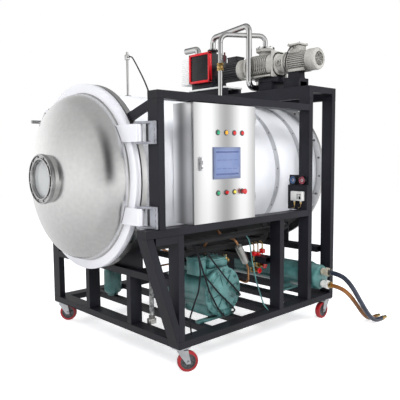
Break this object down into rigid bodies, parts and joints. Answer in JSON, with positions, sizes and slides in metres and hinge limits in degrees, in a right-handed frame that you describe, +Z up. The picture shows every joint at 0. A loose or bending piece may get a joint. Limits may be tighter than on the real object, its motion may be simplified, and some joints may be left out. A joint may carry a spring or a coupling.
{
  "type": "freeze dryer",
  "caption": "Vacuum freeze dryer on castors: insulated chamber with a dished side-hung door and sight glass, control cabinet, refrigeration set and pumps in a tube frame.",
  "frame": {"origin": "on the floor, under the centre of the machine's reach without its hoses and leads", "axes": "+Z up, +X from the chamber's door to the rear end, -Y the operator's side with the control cabinet"},
  "size_m": [2.5715, 2.025, 2.589],
  "materials": {
    "frame_grey": "satin dark grey paint",
    "zinc": "zinc plated",
    "wheel_red": "red tread on a grey hub",
    "stainless": "brushed stainless steel",
    "silicone": "white silicone",
    "jacket_white": "white sheet over insulation",
    "aluminium": "anodised",
    "door_steel": "bright stainless steel",
    "sight_glass": "clear",
    "black_plastic": "matt",
    "cabinet_steel": "brushed stainless steel",
    "chrome": "plated",
    "screen": "lit blue glass in a black bezel",
    "lamps": "green, amber and red lenses",
    "green_plastic": "gloss",
    "red_plastic": "gloss",
    "yellow_plastic": "gloss",
    "galvanised": "galvanised",
    "compressor_green": "teal paint on castings",
    "copper": "copper tube and brass valves",
    "fitting": "beige and white",
    "gauge": "dials behind lenses",
    "pump_grey": "warm grey paint",
    "pump_black": "black paint, with a pale cowl and a white filter box",
    "pump_red": "red frame round a black panel",
    "motor_grey": "warm grey paint",
    "hose_black": "smooth hose",
    "hose_brown": "amber hose",
    "lead_black": "cable sheath"
  },
  "bodies": {
    "machine": {"base_beams": "frame_grey", "frame_posts": "frame_grey", "mid_beams": "frame_grey", "top_beams": "frame_grey", "door_strut": "frame_grey", "caster_plates": "zinc", "chamber_shell": "stainless", "door_gasket": "silicone", "chamber_jacket": "jacket_white", "shelf_rack": "stainless", "shelves": "aluminium", "ice_plates": "stainless", "hinge_brackets": "door_steel", "cabinet_body": "cabinet_steel", "control_plate": "galvanised", "compressor_body": "compressor_green", "compressor_heads": "compressor_green", "condenser": "compressor_green", "water_fittings": "fitting", "receiver": "compressor_green", "filter_drier": "copper", "refrigerant_pipes": "copper", "gauge_panel": "frame_grey", "gauges": "gauge", "vacuum_pump": "pump_black", "pump_cover": "pump_red", "roots_pump": "pump_grey", "roots_motor": "motor_grey", "pump_supports": "frame_grey", "vacuum_pipes": "stainless", "upper_water_hose": "hose_black", "lower_water_hose": "hose_brown", "hose_couplings": "copper", "mast_lead": "lead_black", "motor_lead": "lead_black"},
    "door": {"door_head": "door_steel", "sight_ring": "door_steel", "sight_glass": "sight_glass", "door_hinge_arms": "door_steel"},
    "clamp": {"door_clamp": "black_plastic"},
    "cabinet_front": {"cabinet_door": "cabinet_steel", "touch_screen": "screen", "indicator_lamps": "lamps"},
    "lock": {"cabinet_handle": "chrome"},
    "start": {"start_button": "green_plastic"},
    "selector": {"selector_switch": "red_plastic"},
    "reset": {"reset_button": "yellow_plastic"},
    "stop": {"emergency_stop": "red_plastic"},
    "fan": {"motor_fan": "black_plastic"},
    "lever": {"valve_lever": "red_plastic"},
    "knob_1": {"valve_knob_1": "red_plastic"},
    "knob_2": {"valve_knob_2": "red_plastic"},
    "fork_1": {"caster_fork_1": "zinc"},
    "wheel_1": {"caster_wheel_1": "wheel_red"},
    "fork_2": {"caster_fork_2": "zinc"},
    "wheel_2": {"caster_wheel_2": "wheel_red"},
    "fork_3": {"caster_fork_3": "zinc"},
    "wheel_3": {"caster_wheel_3": "wheel_red"},
    "fork_4": {"caster_fork_4": "zinc"},
    "wheel_4": {"caster_wheel_4": "wheel_red"}
  },
  "joints": [
    {"name": "door_hinge", "type": "hinge", "parent": "machine", "child": "door", "pos_m": [-0.89475, -0.637, 1.272], "axis": [0, 0, 1], "range_deg": [0, 110]},
    {"name": "clamp_turn", "type": "hinge", "parent": "door", "child": "clamp", "pos_m": [-0.93475, 0.53859, 1.74576], "axis": [1, 0, 0], "range_deg": [0, 90]},
    {"name": "cabinet_hinge", "type": "hinge", "parent": "machine", "child": "cabinet_front", "pos_m": [0.04325, -0.768, 1.367], "axis": [0, 0, 1], "range_deg": [0, 120]},
    {"name": "lock_turn", "type": "hinge", "parent": "cabinet_front", "child": "lock", "pos_m": [-0.50475, -0.777, 1.367], "axis": [0, 1, 0], "range_deg": [0, 90]},
    {"name": "start_press", "type": "slide", "parent": "cabinet_front", "child": "start", "axis": [0, 1, 0], "range_m": [0, 0.004], "stiffness_N_per_m": 400},
    {"name": "selector_turn", "type": "hinge", "parent": "cabinet_front", "child": "selector", "pos_m": [-0.26375, -0.777, 1.168], "axis": [0, 1, 0], "range_deg": [-45, 45]},
    {"name": "reset_press", "type": "slide", "parent": "cabinet_front", "child": "reset", "axis": [0, 1, 0], "range_m": [0, 0.004], "stiffness_N_per_m": 400},
    {"name": "stop_press", "type": "slide", "parent": "cabinet_front", "child": "stop", "axis": [0, 1, 0], "range_m": [0, 0.006]},
    {"name": "fan_spin", "type": "hinge", "parent": "machine", "child": "fan", "pos_m": [0.88525, -0.697, 2.205], "axis": [0, 1, 0], "continuous": true},
    {"name": "lever_turn", "type": "hinge", "parent": "machine", "child": "lever", "pos_m": [0.52825, 0.004, 2.193], "axis": [0, 1, 0], "range_deg": [0, 90]},
    {"name": "knob_1_turn", "type": "hinge", "parent": "machine", "child": "knob_1", "pos_m": [0.34725, -0.607, 0.54], "axis": [0, -1, 0], "range_deg": [0, 720]},
    {"name": "knob_2_turn", "type": "hinge", "parent": "machine", "child": "knob_2", "pos_m": [0.28025, -0.607, 0.51], "axis": [0, -1, 0], "range_deg": [0, 720]},
    {"name": "swivel_1", "type": "hinge", "parent": "machine", "child": "fork_1", "pos_m": [-0.65475, -0.727, 0.15], "axis": [0, 0, 1], "continuous": true},
    {"name": "roll_1", "type": "hinge", "parent": "fork_1", "child": "wheel_1", "pos_m": [-0.61198, -0.74879, 0.07], "axis": [0.454, 0.891, 0], "continuous": true},
    {"name": "swivel_2", "type": "hinge", "parent": "machine", "child": "fork_2", "pos_m": [-0.65475, 0.823, 0.15], "axis": [0, 0, 1], "continuous": true},
    {"name": "roll_2", "type": "hinge", "parent": "fork_2", "child": "wheel_2", "pos_m": [-0.62081, 0.78906, 0.07], "axis": [0.7071, 0.7071, 0], "continuous": true},
    {"name": "swivel_3", "type": "hinge", "parent": "machine", "child": "fork_3", "pos_m": [1.02525, -0.727, 0.15], "axis": [0, 0, 1], "continuous": true},
    {"name": "roll_3", "type": "hinge", "parent": "fork_3", "child": "wheel_3", "pos_m": [0.97725, -0.727, 0.07], "axis": [0, -1, 0], "continuous": true},
    {"name": "swivel_4", "type": "hinge", "parent": "machine", "child": "fork_4", "pos_m": [1.02525, 0.823, 0.15], "axis": [0, 0, 1], "continuous": true},
    {"name": "roll_4", "type": "hinge", "parent": "fork_4", "child": "wheel_4", "pos_m": [0.97725, 0.823, 0.07], "axis": [0, -1, 0], "continuous": true}
  ]
}
